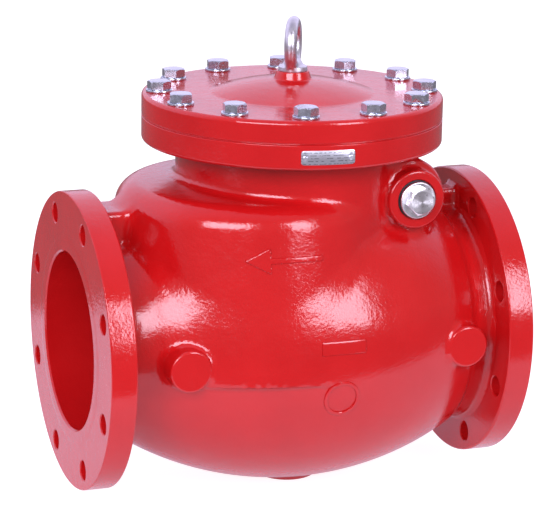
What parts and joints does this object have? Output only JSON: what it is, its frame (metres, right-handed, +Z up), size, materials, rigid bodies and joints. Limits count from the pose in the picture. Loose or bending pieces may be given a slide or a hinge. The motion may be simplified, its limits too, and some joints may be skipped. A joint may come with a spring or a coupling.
{
  "type": "swing check valve",
  "caption": "Flanged swing check valve: a cast body with a bolted domed cover, a lifting eye and a hinged clapper inside that lets flow pass one way.",
  "frame": {"origin": "centre of the inlet flange face", "axes": "+X with the flow towards the outlet flange, +Z up through the cover, +Y to the nameplate side"},
  "size_m": [0.5, 0.36, 0.5435],
  "materials": {
    "red_paint": "gloss epoxy",
    "zinc_steel": "zinc plated",
    "bright_steel": "polished",
    "stainless": "turned",
    "plate_metal": "satin",
    "bronze": "machined",
    "gasket_sheet": "matt",
    "rubber": "matt",
    "arm_iron": "coated casting"
  },
  "bodies": {
    "casing": {"valve_body": "red_paint", "cover": "red_paint", "cover_gasket": "gasket_sheet", "cover_bolts": "zinc_steel", "cover_washers": "zinc_steel", "eye_bolt": "bright_steel", "nameplate": "plate_metal", "nameplate_rivets": "plate_metal", "seat_ring": "bronze", "pin_bush_front": "bronze", "pin_bush_rear": "bronze", "pin_plug_front": "stainless", "pin_plug_rear": "stainless", "plug_seal_front": "gasket_sheet", "plug_seal_rear": "gasket_sheet", "thrust_washer_front": "bronze", "thrust_washer_rear": "bronze"},
    "arm": {"swing_arm": "arm_iron", "hinge_pin": "stainless", "arm_key": "stainless"},
    "clapper": {"disc": "arm_iron", "disc_facing": "rubber", "facing_retainer": "stainless", "retainer_screws": "stainless", "disc_washer": "stainless", "disc_nut": "stainless", "split_pin": "stainless"}
  },
  "joints": [
    {"name": "clapper_swing", "type": "hinge", "parent": "casing", "child": "arm", "pos_m": [0.1295, 0, 0.1675], "axis": [0, -1, 0], "range_deg": [0, 70]},
    {"name": "disc_spin", "type": "hinge", "parent": "arm", "child": "clapper", "pos_m": [0.15, 0, 0], "axis": [1, 0, 0], "continuous": true}
  ]
}
